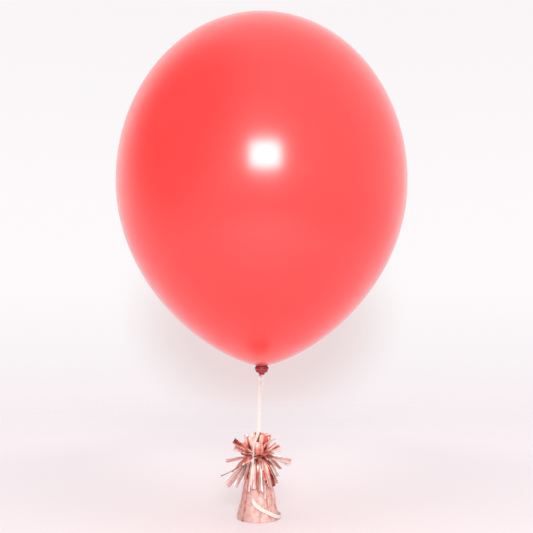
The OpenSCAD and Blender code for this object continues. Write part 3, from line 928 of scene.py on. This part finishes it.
DROOP_ROWS = [
    [190, 52, -42, -23, -12, 6, 0.14, 0.08, 0.3], [200, 53, -26, -42, -66, 14, 0.85, 0.72, 0.2],
    [210, 48, -20, -58, -60, 11, 0.8, 0.85, 0.8], [218, 50, 10, -74, -50, 4, 1.0, 1.0, 0],
    [228, 32, -10, -66, -35, 8, 0.15, 0.25, 0], [236, 50, 4, -80, -30, 8, 0.45, 0.6, 0],
    [262, 46, 4, -80, 28, 8, 0.5, 0.5, 0.2], [275, 50, 10, -76, -34, 8, 0.55, 0.64, 0.2],
    [284, 52, 10, -74, 50, 4, 1.0, 1.0, 0], [290, 62, 14, -78, 50, 4, 0.9, 1.0, 0.2],
    [294, 38, 20, -60, 20, 8, 0.35, 0.6, 0], [303, 48, 20, -66, 20, 9, 0.58, 0.5, 0.4],
    [313, 38, 24, -52, 35, 8, 0.5, 0.65, 0], [312, 47, 20, -70, -25, 8, 0.3, 0.15, 0],
    [323, 46, 20, -60, 40, 9, 0.95, 0.85, 0], [334, 44, 14, -68, 56, 10, 0.95, 0.9, 0.3],
    [350, 36, 20, -64, 70, 10, 1.0, 1.0, 0.2],
    [38, 42, 30, -44, 12, 9, 0.6, 0.7, 0], [55, 46, 30, -56, -10, 10, 0.7, 0.5, 0],
    [72, 48, 30, -64, 15, 10, 0.5, 0.6, 0], [90, 46, 30, -60, -12, 10, 0.7, 0.6, 0],
    [108, 48, 30, -54, 10, 10, 0.6, 0.5, 0.3], [126, 46, 30, -62, 12, 10, 0.75, 0.6, 0],
    [144, 48, 30, -50, -12, 10, 0.5, 0.6, 0], [162, 48, 30, -58, 12, 10, 0.65, 0.7, 0]]


def strip_line(row, root_r, sharpness):
    """Route of a strip out from the gather and over the wrap, as its slope goes from one to another."""
    azimuth, length, lift, droop = row[:4]
    steps = 40
    turn = math.radians(azimuth)
    r, z, rows = root_r, GATHER_Z + 0.4, []
    for i in range(steps + 1):
        clear = max(r, wrap_radius(z) + 1.4)
        rows.append([clear * math.cos(turn), clear * math.sin(turn), z])
        slope = math.radians(droop + (lift - droop) * (1 - i / (steps + 1)) ** sharpness)
        r += length / steps * math.cos(slope)
        z += length / steps * math.sin(slope)
    return np.array(rows)


def strip_part(row, root_r, sharpness, rng):
    """One cut strip: creased along its middle, rippled, and widening from the gather to its cut end."""
    azimuth, _, _, _, twist, width, tone, tip_tone, cool = row
    line = strip_line(row, root_r, sharpness)
    n, columns = len(line), 9
    turn = math.radians(azimuth)
    side = np.array([-math.sin(turn), math.cos(turn), 0])
    t = unit(np.gradient(line, axis=0))
    f = np.cross(side, t)
    along = np.linspace(0, 1, n)
    angle = np.radians(twist) * np.clip(along * 1.6, 0, 1)
    a = np.cos(angle)[:, None] * side + np.sin(angle)[:, None] * f
    out = np.cross(t, a)
    wide = width * (0.3 + 0.7 * np.clip(along / 0.4, 0, 1) ** 0.8)
    crease = rng.uniform(0.1, 0.3) * rng.choice([-1, 1])
    curl = rng.uniform(-0.16, 0.16)
    phase, beat = rng.uniform(0, math.tau), rng.uniform(1.2, 2.6)
    slant, shift = rng.uniform(-0.12, 0.12), rng.uniform(-0.18, 0.18)
    bright_side = rng.uniform(0.1, 0.25) * rng.choice([-1, 1])
    u = np.linspace(-0.5, 0.5, columns)
    rows, tones = [], []
    for i in range(n):
        fold = crease * (1 - np.abs(u - shift) / 0.5) * wide[i] * (1.2 - along[i])
        ripple = 0.5 * along[i] * np.sin(beat * math.tau * along[i] + phase + 1.5 * u)
        edge = curl * wide[i] * (2 * u) ** 2 * along[i]
        cut = slant * width * u * max(0, along[i] - 0.8) * 5
        rows.append(line[i] + wide[i] * u[:, None] * a[i] + (fold + ripple + edge)[:, None] * out[i]
                    + cut[:, None] * t[i])
        # Painted light and shade: each strip is painted lighter on one side of its crease and darker on the
        # other, with a painted sheen that comes and goes along it, and it is painted darker towards the
        # gather.
        painted_light = 0.1 * math.sin(phase + 5 * along[i]) + np.where(u > shift, bright_side, -bright_side)
        own = tone + (tip_tone - tone) * max(0, 2 * along[i] - 1)
        tones.append((own + painted_light) * min(1, along[i] * 3.5 + 0.5))
    return np.concatenate(rows), grid_faces(n, columns, False), {"tone": np.concatenate(tones), "cool": cool}


def add_strips(name, node, rows, root_r, sharpness, seed):
    """One tier of the fringe."""
    rng = random.Random(seed)
    points, faces, attributes = merged([strip_part(row, root_r, sharpness, rng) for row in rows])
    add_film(name, node, points, faces, attributes, STRIP_FILM)


def add_band():
    """Two turns of elastic thread round the gather."""
    low, high = box_mm("gather_band")
    n, around = 160, 16
    turn_r = 0.8
    parts = []
    for z in (low[2] + turn_r, high[2] - turn_r):
        angle = np.linspace(0, math.tau, n, endpoint=False)
        ring = np.linspace(0, math.tau, around, endpoint=False)
        rings = []
        for a in angle:
            strand = turn_r * (0.94 + 0.06 * np.cos(2 * ring + 18 * a))
            r = GATHER_R + turn_r + 0.05 + strand * np.cos(ring)
            rings.append(np.stack([r * math.cos(a), r * math.sin(a), z + strand * np.sin(ring)], 1))
        parts.append((np.concatenate(rings), flipped(closed_faces(n, around)), {}))
    points, faces, _ = merged(parts)
    piece = new_piece("gather_elastic", points, faces, elastic)
    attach(piece, "weight")
    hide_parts("gather_band")


add_wrap()
add_gather()
add_band()
add_strips("upright_fringe", "upright_strips", UPRIGHT_ROWS, 2.2, 1, 3)
add_strips("spread_fringe", "spread_strips", SPREAD_ROWS, 3.3, 6, 5)
add_strips("drooping_fringe", "drooping_strips", DROOP_ROWS, 4.7, 5, 8)

# The sealed ballast keeps its CAD shape and gets its real finish.
for node, material in (("ballast_cup", cup_plastic), ("cup_base", cup_plastic), ("ballast_core", ballast)):
    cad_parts[node].data.materials.clear()
    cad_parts[node].data.materials.append(material)


# ---- Studio ----

def add_floor():
    """Flat round floor, just under the base of the weight."""
    radius, low, around = 2400, -0.05, 96
    angles = np.linspace(0, math.tau, around, endpoint=False)
    ring = [(radius * math.cos(a), radius * math.sin(a), low) for a in angles]
    faces = [(0, i + 1, (i + 1) % around + 1) for i in range(around)]
    floor = new_piece("floor", [(0, 0, low)] + ring, faces, floor_material())


def add_softbox():
    """One soft rectangular light in front of the balloon, above the camera."""
    at, target = Vector((0.075, -1.46, 0.772)), Vector((0.005, 0, 0.46))
    data = bpy.data.lights.new("softbox", "AREA")
    data.shape = "RECTANGLE"
    data.size, data.size_y = 0.54, 0.35
    data.energy = 17
    light = bpy.data.objects.new("softbox", data)
    light.location = at
    light.rotation_mode = "QUATERNION"
    light.rotation_quaternion = (target - at).to_track_quat("-Z", "Y")
    light.visible_camera = False
    bpy.context.scene.collection.objects.link(light)


# Colour of the surround from low to high: a pale rose foot, brightest at eye level
SURROUND_STOPS = [
    (0.0, (0.925, 0.83, 0.86)), (0.33, (0.943, 0.865, 0.892)), (0.41, (0.95, 0.912, 0.93)),
    (0.5, (0.985, 0.95, 0.96)), (0.64, (0.982, 0.947, 0.956)), (0.8, (0.96, 0.928, 0.937)),
    (1.0, (0.945, 0.91, 0.92))]
# The soft shade low behind the balloon: its direction, its half size, its strength and its colour
SHADE_TOWARD = (-0.0045, 0.99, -0.05)
SHADE_SIZE = (0.158, 1.0, 0.12)
SHADE_DEPTH = 0.335
SHADE_COLOUR = (0.6, 0.28, 0.27, 1)
# The dark side of the studio, which only reflections see
DARK_TOWARD = (-0.84, -0.22, 0.5)
DARK_COLOUR = (0.02, 0.015, 0.015, 1)


def add_surround():
    """Plain pale surround with a soft shade low behind the balloon. Reflections also see its dark side."""
    world = bpy.data.worlds.new("surround")
    bpy.context.scene.world = world
    tree = NodeTree(world)
    place = tree.node("ShaderNodeTexCoord").outputs["Generated"]
    height = tree.node("ShaderNodeSeparateXYZ", {0: place}).outputs["Z"]
    plain = tree.ramp(tree.remap(height, -0.35, 0.3, 0, 1, kind="LINEAR"), SURROUND_STOPS)
    scaled = tree.vector("DIVIDE", tree.vector("SUBTRACT", place, SHADE_TOWARD), SHADE_SIZE)
    shade = tree.remap(tree.vector("LENGTH", scaled), 0.45, 0.97, SHADE_DEPTH, 0)
    shaded = tree.mix(shade, plain, SHADE_COLOUR)
    dark = tree.remap(tree.vector("DOT_PRODUCT", place, DARK_TOWARD), 0.52, 0.95, 0, 0.8)
    reflected = tree.combined("MULTIPLY", dark, tree.node("ShaderNodeLightPath").outputs["Is Glossy Ray"])
    tree.feed(tree.nodes["Background"].inputs["Color"], tree.mix(reflected, shaded, DARK_COLOUR))


add_floor()
add_softbox()
add_surround()
bpy.context.scene.view_settings.view_transform = "Standard"
